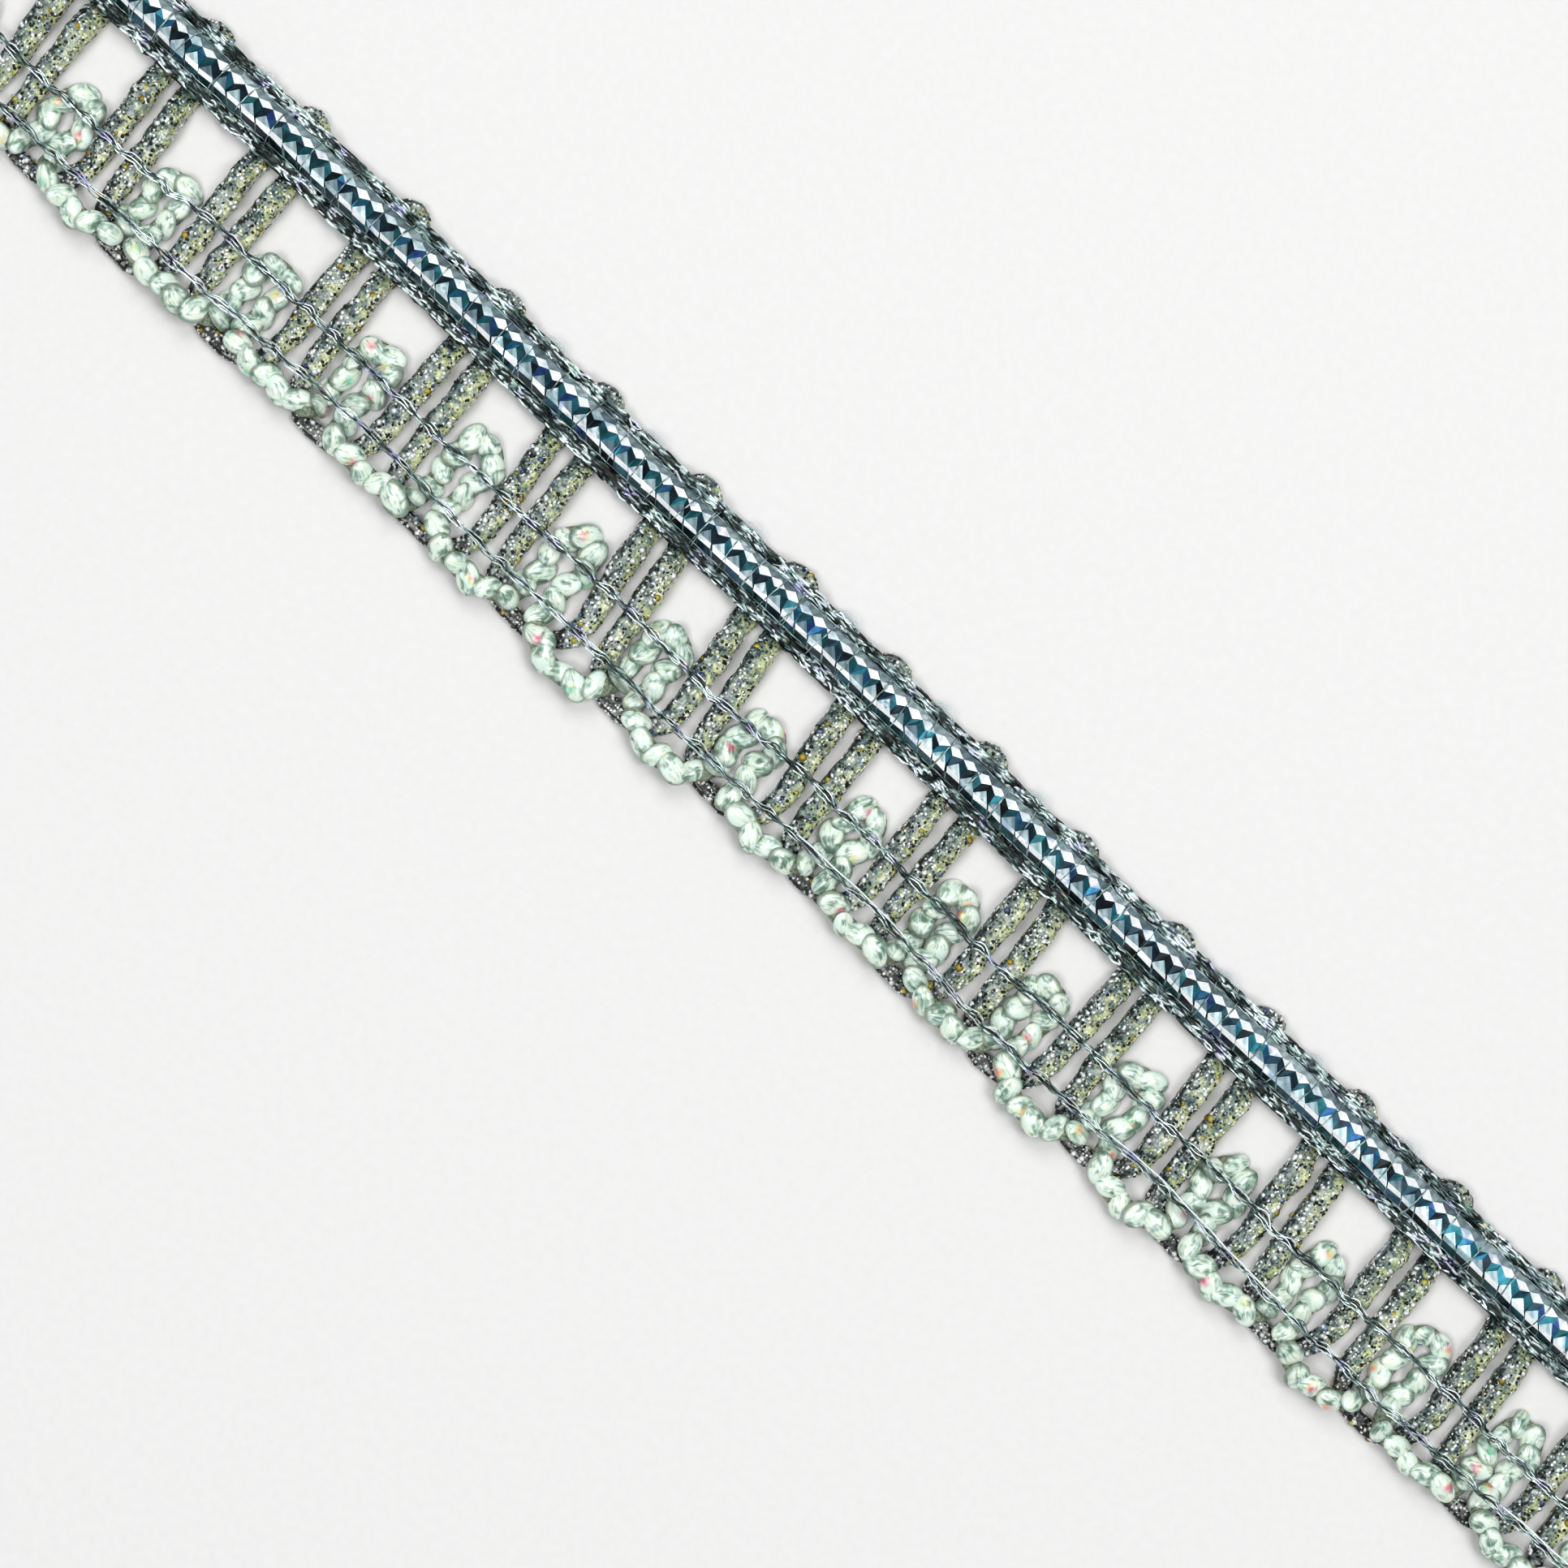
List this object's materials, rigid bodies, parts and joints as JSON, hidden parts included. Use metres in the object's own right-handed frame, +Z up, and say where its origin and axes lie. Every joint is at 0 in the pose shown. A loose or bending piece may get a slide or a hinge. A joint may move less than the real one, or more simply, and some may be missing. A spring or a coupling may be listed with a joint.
{
  "type": "crocheted sequin lace trim",
  "caption": "Silver crocheted sequin trim: looped glitter cord and pearly sequin string bound by chain stitch rows under a mirror film tube, lying flat and face up.",
  "frame": {"origin": "middle of the trim's length and width, on the surface it lies on", "axes": "+X along the trim, +Y across it towards the picots of the heading, +Z up out of the face"},
  "size_m": [0.26, 0.0308, 0.0045],
  "materials": {
    "glitter_film": "clear olive grey film full of black and silver glitter",
    "pearl_sequins": "pearly translucent cup sequins with green, yellow and pink glints",
    "mirror_film": "mirror film folded in small diamond facets",
    "silver_lurex": "silver lurex thread worked in chain stitch"
  },
  "bodies": {
    "root": {"glitter_cord": "glitter_film", "sequin_string": "pearl_sequins", "foil_tube": "mirror_film", "chain_outer": "silver_lurex", "chain_tube": "silver_lurex", "chain_middle": "silver_lurex", "chain_lower": "silver_lurex"}
  },
  "joints": []
}
